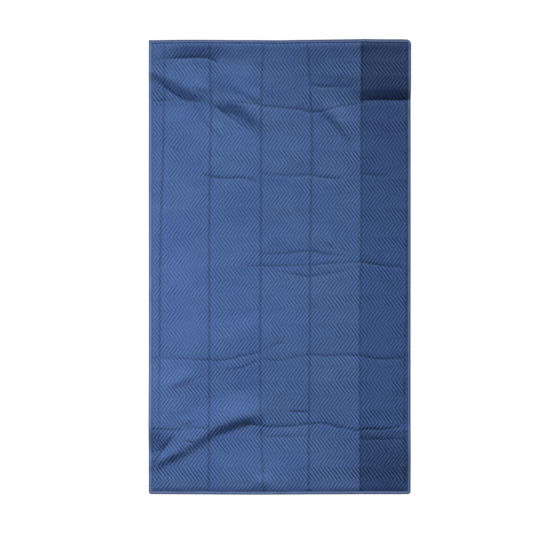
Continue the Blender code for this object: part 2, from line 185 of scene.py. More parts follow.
# A storage crease is a soft trough, deepest along its path of (x, y, depth), with a narrow
# pressed line at its bottom.
Crease = namedtuple("Crease", "name reach path")
CREASES = (
    Crease("lengthwise 1", 17, (
        (-457, 881, 1.5), (-459, 620, 2), (-463, 430, 2.5), (-473, 70, 2.5), (-476, -330, 2.5),
        (-478, -560, 1.5), (-480, -881, 0.5))),
    Crease("lengthwise 2", 17, (
        (-279, 881, 2), (-273, 623, 2.5), (-276, 430, 2.5), (-280, 68, 2.5), (-279, -330, 2.5),
        (-282, -881, 2.3))),
    Crease("lengthwise 3", 18, (
        (-66, 881, 2), (-74, 623, 2.5), (-75, 68, 2.5), (-78, -330, 2.5), (-74, -646, 2),
        (-65, -881, 2))),
    Crease("lengthwise 4", 17, (
        (110, 881, 2), (122, 663, 2.5), (127, 480, 2.6), (120, 68, 2.6), (118, -330, 2.6),
        (113, -881, 2.5))),
    Crease("panel edge line", 17, (
        (322, 881, 2), (322, 300, 2), (319, 0, 2), (316, -360, 2), (318, -881, 2))),
    Crease("lengthwise 5", 16, (
        (498, 860, 2), (503, 266, 2.5), (500, -200, 2.5), (494, -400, 2.5), (496, -860, 3))),
    Crease("under the roll", 16, (
        (-495, 821, 0), (-450, 826, 2), (-392, 830, 4), (-312, 834, 5), (-280, 828, 5),
        (-253, 815, 4), (-244, 809, 0))),
    Crease("under the long pull", 14, (
        (-507, 762, 1), (-463, 729, 2), (-428, 698, 2.5), (-393, 674, 2), (-357, 659, 1),
        (-300, 653, 0))),
    Crease("under the long pull 2", 14, (
        (-268, 651, 0), (-233, 624, 3), (-198, 596, 2.5), (-146, 561, 1.5), (-81, 520, 0))),
    Crease("top right fine", 14, (
        (126, 723, 2), (165, 716, 2.5), (215, 716, 1.5), (300, 714, 0))),
    Crease("cross 1 left", 18, ((-505, 659, 1), (-460, 661, 2), (-419, 663, 0))),
    Crease("cross 1", 18, (
        (-268, 662, 0.5), (-200, 654, 1.5), (-110, 650, 2), (-70, 640, 3), (-19, 635, 3),
        (76, 626, 3), (124, 615, 3), (172, 619, 3), (235, 637, 2), (314, 647, 2),
        (340, 662, 3), (430, 664, 3), (505, 664, 3))),
    Crease("cross 2 left", 20, (
        (-310, 377, 0), (-281, 361, 3), (-221, 352, 3), (-154, 354, 3), (-98, 342, 2))),
    Crease("cross 2", 20, (
        (-62, 371, 1.5), (56, 362, 2), (116, 365, 2.5), (203, 352, 3), (255, 354, 0))),
    Crease("cross 2 right", 20, ((322, 371, 2), (374, 365, 2), (450, 361, 0))),
    Crease("cross 3 upper", 18, (
        (-62, 54, 1.5), (5, 54, 2), (116, 64, 2), (175, 54, 2), (280, 42, 0))),
    Crease("cross 3", 18, (
        (-160, 9, 0), (-82, 5, 2), (116, 8, 1.5), (175, 14, 2), (294, 20, 2), (322, 20, 3),
        (394, 8, 3), (480, 0, 3))),
    Crease("cross 3 lower", 18, (
        (-40, -8, 0), (76, -31, 2), (124, -35, 2), (235, -15, 1.5), (294, -1, 0))),
    Crease("cross 4 left", 20, (
        (-505, -358, 1), (-400, -362, 1.5), (-285, -368, 2), (-221, -368, 2.5),
        (-154, -352, 2.5), (-82, -338, 2))),
    Crease("cross 4 branch", 18, ((-230, -409, 0), (-154, -398, 2), (-94, -372, 2))),
    Crease("cross 4", 20, (
        (-66, -364, 1.5), (-3, -368, 1.5), (116, -348, 2), (175, -352, 2.5), (255, -348, 2),
        (322, -352, 3), (394, -364, 3), (480, -360, 3))),
    Crease("cross 5 left", 18, (
        (-499, -640, 2), (-417, -643, 2.5), (-379, -642, 1.5), (-336, -634, 1.5),
        (-300, -638, 1.5), (-283, -652, 0))),
    Crease("cross 5", 20, (
        (-126, -620, 2), (-62, -630, 3), (-19, -633, 3), (70, -628, 3), (112, -622, 3),
        (152, -618, 3), (180, -620, 3.5), (229, -634, 3), (257, -636, 2), (300, -648, 2),
        (318, -646, 3), (350, -641, 5), (398, -643, 5), (469, -635, 4))),
    Crease("left edge hollow", 24, (
        (-417, -655, 0), (-440, -690, 3), (-463, -725, 5), (-502, -783, 3), (-512, -800, 0))),
    Crease("low pull tick", 12, ((-372, -690, 2), (-352, -692, 3), (-330, -690, 0))),
    Crease("below cross 5", 18, ((-62, -672, 1), (-8, -672, 2), (60, -671, 1), (102, -668, 1))),
    Crease("above cross 5", 16, ((34, -572, 0), (45, -572, 3), (98, -572, 3), (104, -572, 2))),
    Crease("right of cross 5", 16, ((318, -681, 2), (400, -681, 2), (491, -681, 1))),
    Crease("middle slant", 18, ((175, 104, 0), (200, 85, 2), (219, 68, 0))),
    Crease("slant by cross 4", 18, ((-66, -329, 1), (-3, -301, 2), (25, -305, 0))),
    Crease("upper left slant", 18, ((-443, 484, 0), (-420, 470, 1.5), (-396, 457, 0))),
)
PRESSED_REACH = 8.0
DEEP_CREASE = 2.5
TROUGH_SHARE = 0.3
PRESSED_SHARE = 0.4
LOWEST_RELIEF = -2.6
HOLLOW_FROM = 1.8
UNDERSIDE_STEP = 26.0
PATH_STEPS = 6

# Where the cloth lies slack its puffs stand up more than elsewhere, and where it is taut they
# are nearly flat: a share of "more" at the place (x, y), fading out this far across and along.
Slack = namedtuple("Slack", "x y across along more")
SLACKS = (
    Slack(-157, 785, 80, 80, -0.7),
    Slack(22, 702, 80, 60, -0.4),
    Slack(-316, 36, 140, 60, -0.7),
    Slack(-364, -240, 70, 140, -0.7),
    Slack(-364, 290, 60, 80, -0.5),
    Slack(409, -329, 65, 330, -0.7),
    Slack(417, 424, 80, 170, -0.5),
    Slack(-70, -769, 230, 85, -0.5),
    Slack(-483, 702, 50, 170, 0.5),
    Slack(-98, 577, 80, 80, 0.4),
    Slack(-335, 702, 80, 60, 0.4),
    Slack(-66, -630, 70, 40, 0.7),
    Slack(410, -640, 120, 50, 0.6),
    Slack(-157, -408, 100, 70, 0.5),
    Slack(285, 450, 50, 400, 0.3),
)

# Slight unevenness of the padding: swells this long across and along, and this high.
Swell = namedtuple("Swell", "across along height waves seed")
SWELLS = (
    Swell(150, 190, 0.25, 10, 11),
    Swell(26, 240, 0.16, 14, 12),
    Swell(60, 55, 0.10, 10, 13),
)

CDT_INSIDE = 1
CDT_MERGE = 1e-3
WELD = 2e-5


def smooth_path(path):
    """The path with rounded bends: a Catmull-Rom curve through its points."""
    rows = np.array(path, float)
    padded = np.vstack([2 * rows[0] - rows[1], rows, 2 * rows[-1] - rows[-2]])
    part = np.linspace(0, 1, PATH_STEPS, endpoint=False)[:, None]
    curve = []
    for a, b, c, d in zip(padded, padded[1:], padded[2:], padded[3:]):
        bend = 2 * a - 5 * b + 4 * c - d + part * (3 * (b - c) + d - a)
        curve.append(b + 0.5 * part * (c - a + part * bend))
    return np.vstack([*curve, rows[-1:]])


def measure_along(points, path, reach):
    """How far each point is from the path, on which side (left is positive), and the path's height."""
    nearest = np.full(len(points), np.inf)
    side = np.zeros(len(points))
    height = np.zeros(len(points))
    curve = smooth_path(path)
    low = curve[:, :2].min(0) - reach
    high = curve[:, :2].max(0) + reach
    close = np.flatnonzero(((points > low) & (points < high)).all(1))
    for a, b in zip(curve, curve[1:]):
        run = (b - a)[:2]
        away = points[close] - a[:2]
        part = np.clip(away @ run / (run @ run), 0, 1)
        gap = away - part[:, None] * run
        far = np.hypot(gap[:, 0], gap[:, 1])
        near = far < nearest[close]
        found = close[near]
        nearest[found] = far[near]
        side[found] = (run[0] * gap[:, 1] - run[1] * gap[:, 0])[near]
        height[found] = (a[2] + (b[2] - a[2]) * part)[near]
    return nearest, side, height


def swell_height(points, swell):
    """Smooth unevenness: a sum of a few sine waves in seeded directions."""
    draw = np.random.default_rng(swell.seed)
    total = np.zeros(len(points))
    for _ in range(swell.waves):
        turn = draw.uniform(0, 2 * np.pi)
        phase = draw.uniform(0, 2 * np.pi)
        size = draw.uniform(0.7, 1.4)
        across = math.cos(turn) * 2 * np.pi / (swell.across * size)
        along = math.sin(turn) * 2 * np.pi / (swell.along * size)
        total += np.sin(points[:, 0] * across + points[:, 1] * along + phase)
    return swell.height * total / math.sqrt(swell.waves / 2)


def fade(share):
    """A soft step from 1 at share 0 to 0 at share 1."""
    share = np.clip(share, 0, 1)
    return 1 - share * share * (3 - 2 * share)


def crease_shape(points):
    """Depth of the storage creases in millimetres, and painted shade on their pressed lines, up to 1.
    """
    total = np.zeros(len(points))
    painted_shade_share = np.zeros(len(points))
    for crease in CREASES:
        far, _, depth = measure_along(points, crease.path, crease.reach)
        line = np.clip(1 - far / PRESSED_REACH, 0, 1)
        total += depth * (TROUGH_SHARE * fade(far / crease.reach) + PRESSED_SHARE * line)
        painted_shade_share = np.maximum(painted_shade_share, np.clip(depth / DEEP_CREASE, 0, 1) * line)
    return total, painted_shade_share


def relief(points):
    """Height of the folds and creases over the flat cloth, the same across the whole bound edge."""
    inside = np.array((WIDTH, LENGTH)) / 2 - LEVEL_INSET
    points = np.clip(points, -inside, inside)
    total = -crease_shape(points)[0]
    for swell in SWELLS:
        total += swell_height(points, swell)
    for fold in FOLDS:
        far, side, height = measure_along(points, fold.path, max(fold.steep, fold.gentle))
        share = far / np.where(side > 0, fold.gentle, fold.steep)
        tent = np.clip(1 - share, 0, 1)
        total += height * (fade(share) + fold.crisp * (tent - fade(share)))
    return np.maximum(total, LOWEST_RELIEF)


def outline(inset):
    """The bound outline, moved inwards by inset: anticlockwise, with as many points at any inset."""
    half_x = WIDTH / 2 - inset
    half_y = LENGTH / 2 - inset
    level = [length / 2 - LEVEL_INSET for length in (WIDTH, LENGTH)]
    across, along = [np.linspace(-far, far, round(2 * far / STATION_STEP) + 1) for far in level]
    sides = (
        [(-x, half_y) for x in across],
        [(-half_x, -y) for y in along],
        [(x, -half_y) for x in across],
        [(half_x, y) for y in along],
    )
    points = []
    for quarter, (corner, side) in enumerate(zip(CORNERS, sides)):
        radius = max(corner.radius - inset, LEAST_RADIUS)
        x = corner.side_x * (half_x - radius)
        y = corner.side_y * (half_y - radius)
        for step in range(CORNER_STEPS + 1):
            angle = math.radians(90 * (quarter + step / CORNER_STEPS))
            points.append((x + radius * math.cos(angle), y + radius * math.sin(angle)))
        points += side
    return points


def inset_of(points):
    """How far each point is inside the blanket's outline, with its rounded corners."""
    inset = np.minimum(WIDTH / 2 - np.abs(points[:, 0]), LENGTH / 2 - np.abs(points[:, 1]))
    for corner in CORNERS:
        turned = points * (corner.side_x, corner.side_y)
        beyond = turned - (WIDTH / 2 - corner.radius, LENGTH / 2 - corner.radius)
        rounded = corner.radius - np.hypot(*beyond.T)
        inset = np.where((beyond > 0).all(axis=1), rounded, inset)
    return inset


def row_drift(x, y):
    """How far the quilted rows have drifted up the blanket at this place."""
    total = 0.0
    for drift in DRIFTS:
        beside = (x - drift.x) / drift.across
        ahead = (y - drift.y) / drift.along
        beside = beside * beside
        ahead = ahead * ahead
        total = drift.shift * ((1 + beside * beside) * (1 + ahead * ahead)) ** -1 + total
    return total


def zigzag(y, sizes=QUILTING):
    """Sideways place of the stitch lines at this distance along the blanket."""
    turn = (sizes.start - y) / sizes.half_period
    return sizes.travel * (abs(turn % 2 - 1) - 0.5)


def slackness(points):
    """How much the puffs stand up at each point: 1 where the cloth is neither slack nor taut."""
    total = np.ones(len(points))
    for slack in SLACKS:
        away = (points - (slack.x, slack.y)) / (slack.across, slack.along)
        total += slack.more * fade(np.hypot(*away.T))
    return total


def off_stitch(x, y, sizes=QUILTING):
    """Distance from the nearest stitch line, in pitches: 0 on the line and 0.5 half way to the next."""
    place = (x - zigzag(y - row_drift(x, y), sizes)) / sizes.pitch
    return abs((place + 0.5) % 1 - 0.5)


def top_height(points):
    """Height of the upper face without its puffs. It falls to the squeezed edge at the tape."""
    shape = relief(points)
    edge = EDGE_TOP + np.maximum(shape, 0)
    field = STITCH_THICKNESS + shape
    return field + (edge - field) * fade((inset_of(points) - SEAM_INSET) / (FULL_INSET - SEAM_INSET))


def under_height(points):
    """Height of the underside: raised over the tape, and elsewhere on the floor or hollow."""
    shape = relief(points)
    edge = EDGE_BOTTOM + np.maximum(shape, 0)
    return np.where(inset_of(points) < FLOOR_INSET - 0.01, edge, np.maximum(shape - HOLLOW_FROM, 0))


def inside_box(a, b, inset):
    """The part of the line from a to b that lies inside the outline moved inwards, or None."""
    first, last = 0.0, 1.0
    for axis, half in ((0, WIDTH / 2 - inset), (1, LENGTH / 2 - inset)):
        for sign in (-1, 1):
            room = half - sign * a[axis]
            ahead = sign * (b[axis] - a[axis])
            if ahead > 0:
                last = min(last, room / ahead)
            elif ahead < 0:
                first = max(first, room / ahead)
            elif room < 0:
                return None
    if last - first < 1e-6:
        return None
    run = (b[0] - a[0], b[1] - a[1])
    return [(a[0] + share * run[0], a[1] + share * run[1]) for share in (first, last)]


class Plan:
    """Points and lines of one face of the cloth, seen from above, before they get their heights."""

    def __init__(self):
        self.points = []
        self.lines = []

    def add_loop(self, points):
        start = len(self.points)
        self.points += points
        count = len(points)
        self.lines += [(start + i, start + (i + 1) % count) for i in range(count)]

    def add_path(self, path, inset):
        for a, b in zip(path, path[1:]):
            kept = inside_box(a, b, inset)
            if kept:
                self.lines.append((len(self.points), len(self.points) + 1))
                self.points += kept

    def triangles(self, rim_count):
        """The points and triangles of the plan inside its first loop."""
        rim = list(range(rim_count))
        made = delaunay_2d_cdt(self.points, self.lines, [rim], CDT_INSIDE, CDT_MERGE)
        return np.array([tuple(point) for point in made[0]]), made[2]


def stitch_columns():
    """Lines that follow the zigzag over the whole field: each stitch line, and four to the next."""
    row = QUILTING.half_period / ROWS_A_LEG
    first = math.ceil((QUILTING.start - LENGTH / 2) / row) - 1
    last = math.floor((QUILTING.start + LENGTH / 2) / row) + 1
    rows = QUILTING.start - row * np.arange(first, last + 1)
    count = math.ceil((WIDTH + QUILTING.travel) / 2 / QUILTING.pitch)
    for column in range(-count, count + 1):
        for place in COLUMN_PLACES:
            x = (column + place) * QUILTING.pitch + zigzag(rows)
            y = rows + row_drift(x, rows)
            y = rows + row_drift(x, y)
            yield list(zip(x.tolist(), y.tolist()))


def crease_lines():
    """The bottom of each crease's pressed line, and its two borders."""
    for crease in CREASES:
        middle = smooth_path(crease.path)[:, :2]
        ahead = np.gradient(middle, axis=0)
        across = np.column_stack([-ahead[:, 1], ahead[:, 0]]) / np.hypot(*ahead.T)[:, None]
        for side in (-1, 0, 1):
            yield (middle + side * PRESSED_REACH * across).tolist()


def add_face(mesh, points, heights, triangles, upside):
    """Adds one face of the cloth to the mesh, turned to look up or down."""
    made = [mesh.verts.new((x * MM, y * MM, z * MM)) for (x, y), z in zip(points, heights)]
    for triangle in triangles:
        corners = [made[i] for i in triangle]
        mesh.faces.new(corners if upside else corners[::-1])


def new_piece(name, mesh):
    """An object at the origin for a finished bmesh, shaded smooth."""
    data = bpy.data.meshes.new(name)
    mesh.to_mesh(data)
    mesh.free()
    data.shade_smooth()
    piece = bpy.data.objects.new(name, data)
    bpy.context.scene.collection.objects.link(piece)
    return piece


def unquilted_cloth():
    """The padded cloth with its folds and creases, before the stitch lines draw it in."""
    rim = outline(BODY_INSET)
    mesh = bmesh.new()
    upper = Plan()
    upper.add_loop(rim)
    upper.add_loop(outline(SEAM_INSET))
    for column in stitch_columns():
        upper.add_path(column, SEAM_INSET)
    for line in crease_lines():
        upper.add_path(line, SEAM_INSET + LEAST_RADIUS)
    points, triangles = upper.triangles(len(rim))
    add_face(mesh, points, top_height(points), triangles, True)
    edges = [edge for edge in mesh.edges if edge.is_boundary]
    wall = bmesh.ops.extrude_edge_only(mesh, edges=edges)["geom"]
    lower = [item for item in wall if isinstance(item, bmesh.types.BMVert)]
    places = np.array([vert.co[:2] for vert in lower]) / MM
    for vert, z in zip(lower, under_height(places)):
        vert.co.z = z * MM
    under = Plan()
    for inset in (BODY_INSET, SEAM_INSET, FLOOR_INSET):
        under.add_loop(outline(inset))
    half = np.array((WIDTH, LENGTH)) / 2 - FLOOR_INSET - UNDERSIDE_STEP / 2
    counts = np.round(2 * half / UNDERSIDE_STEP).astype(int) + 1
    for x in np.linspace(-half[0], half[0], counts[0]):
        under.points += [(float(x), float(y)) for y in np.linspace(-half[1], half[1], counts[1])]
    points, triangles = under.triangles(len(rim))
    add_face(mesh, points, under_height(points), triangles, False)
    bmesh.ops.remove_doubles(mesh, verts=mesh.verts, dist=WELD)
    bmesh.ops.recalc_face_normals(mesh, faces=mesh.faces)
    return new_piece("quilted_cloth", mesh)


def set_share(piece, name, values):
    """Stores one number for each point of the piece, for its making step and its material."""
    attribute = piece.data.attributes.new(name, "FLOAT", "POINT")
    attribute.data.foreach_set("value", np.asarray(values, np.float32))


class Field:
    """A number that varies over a piece. Arithmetic on it adds nodes to its recipe."""

    def __init__(self, recipe, socket):
        self.recipe = recipe
        self.socket = socket

    def maths(self, operation, *others):
        return self.recipe.node("ShaderNodeMath", {"operation": operation}, [self, *others])

    def __add__(self, other):
        return self.maths("ADD", other)

    def __radd__(self, other):
        return self.maths("ADD", other)

    def __sub__(self, other):
        return self.maths("SUBTRACT", other)

    def __rsub__(self, other):
        return self.recipe.node("ShaderNodeMath", {"operation": "SUBTRACT"}, [other, self])

    def __mul__(self, other):
        return self.maths("MULTIPLY", other)

    def __rmul__(self, other):
        return self.maths("MULTIPLY", other)

    def __truediv__(self, other):
        return self.maths("DIVIDE", other)

    def __mod__(self, other):
        return self.maths("FLOORED_MODULO", other)

    def __pow__(self, other):
        return self.maths("POWER", other)

    def __abs__(self):
        return self.maths("ABSOLUTE")

    def wave(self, length):
        """A sine of this wavelength."""
        return (self * (2 * math.pi / length)).maths("SINE")

    def rise(self, low, high):
        """A soft step from 0 at low to 1 at high."""
        settings = {"interpolation_type": "SMOOTHSTEP"}
        values = {"Value": self, "From Min": low, "From Max": high}
        return self.recipe.node("ShaderNodeMapRange", settings, values)


class Recipe:
    """The node tree of one finish or one making step."""

    def __init__(self, tree):
        self.tree = tree

    def node(self, kind, settings=None, values=None, out=0):
        """Adds a node, sets it up, then fills its sockets. Gives one of its outputs as a field."""
        made = self.tree.nodes.new(kind)
        for name, setting in (settings or {}).items():
            setattr(made, name, setting)
        filled = values.items() if isinstance(values, dict) else enumerate(values or ())
        for place, value in filled:
            if isinstance(value, Field):
                self.tree.links.new(value.socket, made.inputs[place])
            else:
                made.inputs[place].default_value = value
        return Field(self, made.outputs[out]) if made.outputs else None

    def parts(self, vector):
        """The three numbers of a vector."""
        first = self.node("ShaderNodeSeparateXYZ", None, [vector])
        return [Field(self, socket) for socket in first.socket.node.outputs]

    def noise(self, place, size, detail=2.0, rough=0.5):
        """Soft noise from 0 to 1 with patches of about this size in millimetres."""
        values = {"Vector": place, "Scale": 1 / (size * MM), "Detail": detail, "Roughness": rough}
        return self.node("ShaderNodeTexNoise", None, values)

    def blend(self, share, first, second):
        """One colour turning into another."""
        return self.node("ShaderNodeMix", {"data_type": "RGBA"}, {0: share, 6: first, 7: second}, 2)

    def scaled(self, colour, amount):
        """A colour made lighter or darker by a number."""
        return self.node("ShaderNodeVectorMath", {"operation": "SCALE"}, {0: colour, "Scale": amount})


def making_step(name, sizes):
    """A node tree that works on a piece's mesh, with its sizes as named inputs."""
    tree = bpy.data.node_groups.new(name, "GeometryNodeTree")
    tree.interface.new_socket(name="Geometry", in_out="INPUT", socket_type="NodeSocketGeometry")
    for size in sizes:
        tree.interface.new_socket(name=size, in_out="INPUT", socket_type="NodeSocketFloat")
    tree.interface.new_socket(name="Geometry", in_out="OUTPUT", socket_type="NodeSocketGeometry")
    recipe = Recipe(tree)
    start = recipe.node("NodeGroupInput")
    inputs = {socket.name: Field(recipe, socket) for socket in start.socket.node.outputs}
    return recipe, inputs


def end_step(recipe, geometry, material):
    """Ends a making step: real geometry, in its material."""
    real = recipe.node("GeometryNodeRealizeInstances", None, {"Geometry": geometry})
    values = {"Geometry": real, "Material": material}
    recipe.node("NodeGroupOutput", None, [recipe.node("GeometryNodeSetMaterial", None, values)])


def run_step(piece, recipe, sizes):
    """Runs a making step on the piece and keeps the result as its plain mesh."""
    modifier = piece.modifiers.new(recipe.tree.name, "NODES")
    modifier.node_group = recipe.tree
    for socket in recipe.tree.interface.items_tree:
        if socket.name in sizes:
            modifier[socket.identifier] = float(sizes[socket.name])
    bpy.context.view_layer.update()
    shown = piece.evaluated_get(bpy.context.evaluated_depsgraph_get())
    mesh = bpy.data.meshes.new_from_object(shown)
    piece.modifiers.remove(modifier)
    piece.data = mesh


def new_finish(name, roughness, sheen):
    """A woven finish: its recipe and its shader, with what is the same all over set on the shader."""
    material = bpy.data.materials.new(name)
    material.use_nodes = True
    shader = material.node_tree.nodes["Principled BSDF"]
    shader.inputs["Roughness"].default_value = roughness
    shader.inputs["Specular IOR Level"].default_value = 0.25
    shader.inputs["Sheen Weight"].default_value = sheen
    shader.inputs["Sheen Roughness"].default_value = 0.45
    return material, Recipe(material.node_tree), shader


def finish_with(recipe, shader, colour, roughness, height, distance):
    """Leads a finish's colour, roughness and relief in millimetres to its shader."""
    values = {"Height": height, "Distance": distance * MM, "Strength": 1.0}
    normal = recipe.node("ShaderNodeBump", None, values)
    for name, field in (("Base Color", colour), ("Roughness", roughness), ("Normal", normal)):
        recipe.tree.links.new(field.socket, shader.inputs[name])


CLOTH_BLUE = (0.058, 0.122, 0.316, 1.0)
CLOTH_FADED = (0.068, 0.135, 0.328, 1.0)
CLOTH_DEEP = (0.042, 0.097, 0.272, 1.0)
# Painted shade: the right panel of the cloth is given a deeper colour, standing in for shade that the
# lamps don't give it.
CLOTH_PANEL_SHADE = (0.040, 0.092, 0.258, 1.0)
PANEL_SHADE_SHARE = 0.95
PANEL_SHADE_FROM = 316.0
PANEL_SHADE_SOFT = 2.0
PANEL_SHADE_BEND = 4.0
PANEL_SHADE_BEND_REACH = 250.0
# Painted shade: the right panel is darkened more towards its upper end, and more again in its top and
# bottom blocks.
UPPER_SHADE = 0.12
UPPER_SHADE_REACH = 600.0
OUTER_MIDDLE = 10.0
OUTER_FROM = 654.0
OUTER_SHADE = 0.24
QUILT_THREAD = (0.034, 0.066, 0.180, 1.0)
CLOTH_ROUGHNESS = 0.78
CLOTH_SHEEN = 0.05
PATCH_SIZE = 160
MOTTLE_SIZE = 14
FIBRE_SIZE = 1.6
WEAVE_PITCH = 0.9
WEAVE_HEIGHT = 0.05
FIBRE_HEIGHT = 0.1
STITCH_LENGTH = 4.2
STITCH_HALF_WIDTH = 0.45
STITCH_SOLID = 0.38
STITCH_END = 0.48
STITCH_COLOUR_SHARE = 0.7
STITCH_HEIGHT = 0.25
# Painted shade: the cloth is darkened in the valleys beside the stitch lines; the same mask sinks the
# bump there.
DRAWN_FROM = 0.2
DRAWN_TO = 2.2
DRAWN_SHADE = 0.18
DRAWN_DEPTH = 0.3
ZIGZAG_STRETCH = math.hypot(1, QUILTING.travel / QUILTING.half_period)
# Painted shade: the creases' pressed lines and the cloth just inside the tape are darkened by these
# shares.
CREASE_SHADE = 0.36
SEAM_EDGE_SHADE = 0.5
SEAM_EDGE_SHADE_REACH = 5.0
UPPER_MARGIN = 0.2


def cloth_finish():
    """Woven polyester, sewn with thread a little darker than the cloth, with painted shade in its
    creases.
    """
    material, recipe, shader = new_finish("quilted polyester", CLOTH_ROUGHNESS, CLOTH_SHEEN)
    place = recipe.node("ShaderNodeTexCoord", out="Object")
    x, y, _ = [part / MM for part in recipe.parts(place)]
    painted_shade = recipe.node("ShaderNodeAttribute", {"attribute_name": "painted_crease_shade"}, out="Fac")
    off = off_stitch(x, y) * QUILTING.pitch
    thread = 1 - off.rise(0.5 * STITCH_HALF_WIDTH, STITCH_HALF_WIDTH)
    stitch = (y * (ZIGZAG_STRETCH / STITCH_LENGTH)) % 1
    sewn = thread * (1 - abs(stitch - 0.5).rise(STITCH_SOLID, STITCH_END))
    drawn = 1 - off.rise(DRAWN_FROM, DRAWN_TO)
    weave = x.wave(WEAVE_PITCH) * y.wave(WEAVE_PITCH)
    patches = recipe.noise(place, PATCH_SIZE, 3.0)
    mottle = recipe.noise(place, MOTTLE_SIZE, 4.0, 0.6)
    fibres = recipe.noise(place, FIBRE_SIZE, 2.0)
    colour = recipe.blend(patches.rise(0.35, 0.65), CLOTH_BLUE, CLOTH_FADED)
    colour = recipe.blend(mottle.rise(0.55, 0.75) * 0.5, colour, CLOTH_DEEP)
    # Painted shade: the right panel, right of a slightly bent line, turns to the deeper colour.
    bent = x - PANEL_SHADE_BEND * y.rise(-PANEL_SHADE_BEND_REACH, PANEL_SHADE_BEND_REACH)
    kept = bent.rise(PANEL_SHADE_FROM - PANEL_SHADE_SOFT, PANEL_SHADE_FROM + PANEL_SHADE_SOFT)
    # Painted shade: the top and bottom blocks of the right panel.
    outer = kept * abs(y - OUTER_MIDDLE).rise(OUTER_FROM - PANEL_SHADE_SOFT, OUTER_FROM + PANEL_SHADE_SOFT)
    colour = recipe.blend(kept * PANEL_SHADE_SHARE, colour, CLOTH_PANEL_SHADE)
    colour = recipe.blend(sewn * STITCH_COLOUR_SHARE, colour, QUILT_THREAD)
    # Painted shade: besides the fibres' own uneven tone, this darkens the stitch valleys, the creases,
    # the cloth beside the tape and parts of the right panel.
    light = (0.93 + 0.14 * fibres) * (1 - DRAWN_SHADE * drawn)
    light = light * (1 - CREASE_SHADE * painted_shade) * (1 - OUTER_SHADE * outer)
    light = light * (1 - UPPER_SHADE * kept * y.rise(0, UPPER_SHADE_REACH))
    height = WEAVE_HEIGHT * weave + STITCH_HEIGHT * sewn + FIBRE_HEIGHT * fibres - DRAWN_DEPTH * drawn
    rough = CLOTH_ROUGHNESS + 0.12 * (mottle - 0.5)
    finish_with(recipe, shader, recipe.scaled(colour, light), rough, height, 1.0)
    return material


def quilting_step(material):
    """Puffs the upper face up between the stitch lines, unevenly, as padding does."""
    recipe, inputs = making_step("quilting", QUILTING._fields)
    sizes = Quilting(*[inputs[name] for name in QUILTING._fields])
    place = recipe.node("GeometryNodeInputPosition")
    x, y, _ = [part / MM for part in recipe.parts(place)]
    share = recipe.node(
        "GeometryNodeInputNamedAttribute", {"data_type": "FLOAT"}, {"Name": "quilted"})
    rounded = 1 - (1 - 2 * off_stitch(x, y, sizes)) ** sizes.fullness
    uneven = 1.0 + 0.5 * recipe.noise(place, 75, 2.0).rise(0.36, 0.64)
    lift = recipe.node(
        "ShaderNodeCombineXYZ", None, {"Z": sizes.puff * rounded * uneven * share * MM})
    values = {"Geometry": inputs["Geometry"], "Offset": lift}
    end_step(recipe, recipe.node("GeometryNodeSetPosition", None, values), material)
    return recipe


cloth = unquilted_cloth()
cloth_points = np.array([vert.co[:] for vert in cloth.data.vertices]) / MM
cloth_inset = inset_of(cloth_points[:, :2])
# Painted shade: the cloth is marked for darkening along its creases' pressed lines and just inside the
# tape.
painted_shade_share = crease_shape(cloth_points[:, :2])[1]
beside_seam = np.clip(1 - (cloth_inset - SEAM_INSET) / SEAM_EDGE_SHADE_REACH, 0, 1)
painted_shade_share = np.maximum(painted_shade_share, SEAM_EDGE_SHADE * beside_seam)
upper_from = under_height(cloth_points[:, :2]) + 0.5 * EDGE_THICKNESS - UPPER_MARGIN
upper_side = cloth_points[:, 2] > upper_from
quilted = 1 - fade((cloth_inset - SEAM_INSET) / (FULL_INSET - SEAM_INSET))
set_share(cloth, "quilted", quilted * upper_side * slackness(cloth_points[:, :2]))
set_share(cloth, "painted_crease_shade", painted_shade_share)
run_step(cloth, quilting_step(cloth_finish()), QUILTING._asdict())
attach(cloth, "root")
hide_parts("quilted_body")


# Binding: one woven tape, folded lengthwise over the squeezed edge of the cloth. It starts and
# ends at the square top left corner and goes round the other three in a curve. Painted shade
# darkens its folded outer edge, more along the right and the top, and the strip inside its seam.
# Its width wanders in waves, each told as a number of waves round the blanket and a start.
TAPE_ROLL = 1.8
ROLL_STEPS = 6
TAPE_SEAM = 9.9
TAPE_SEAM_HALF = 0.9
TAPE_SEAM_DEPTH = 0.25
TAPE_WANDER = 0.45
TAPE_WAVES = ((17, 0.3), (43, 1.9), (71, 4.0))
TAPE_PALE = (0.128, 0.195, 0.390, 1.0)
# Painted shade and wear: this dark colour stands for shade along the outer fold and inside the seam,
# and for worn patches.
TAPE_SHADE_AND_WEAR = (0.036, 0.072, 0.190, 1.0)
EDGE_SHADE_WIDTH = 2.4
EDGE_SHADE_SOFT = 2.0
EDGE_SHADE_MORE = 1.3
EDGE_SHADE_RIGHT = (500, 510)
EDGE_SHADE_TOP = (880, 890)
SEAM_SHADE = 0.6
TAPE_ROUGHNESS = 0.7
TAPE_SHEEN = 0.1
TAPE_WEAVE = 0.8


